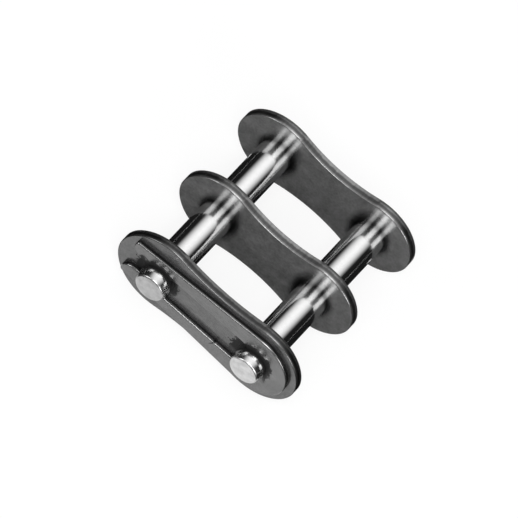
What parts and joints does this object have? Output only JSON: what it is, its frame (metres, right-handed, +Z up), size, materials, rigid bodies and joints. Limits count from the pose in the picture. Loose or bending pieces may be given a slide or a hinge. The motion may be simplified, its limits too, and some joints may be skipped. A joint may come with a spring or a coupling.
{
  "type": "chain connecting link",
  "caption": "Connecting link for double-strand roller chain: pins riveted in a waisted rear plate, a middle plate, a slip-on cover plate and a U-shaped spring clip.",
  "frame": {"origin": "bottom centre of the whole link, on the surface that its plates' lower edges stand on", "axes": "+X along the chain's pitch towards the clip's closed end, +Y along the pins towards their riveted ends, +Z up"},
  "size_m": [0.0232, 0.0238, 0.0106],
  "materials": {
    "link_plate": "dark heat-treated steel, satin, with rounded bright edges",
    "cover_plate": "dark heat-treated steel, satin",
    "spring_clip": "grey spring steel, satin",
    "pin": "ground and polished"
  },
  "bodies": {
    "root": {"rear_plate": "link_plate", "middle_plate": "link_plate", "cover_plate": "cover_plate", "spring_clip": "spring_clip", "left_pin": "pin", "right_pin": "pin"}
  },
  "joints": []
}
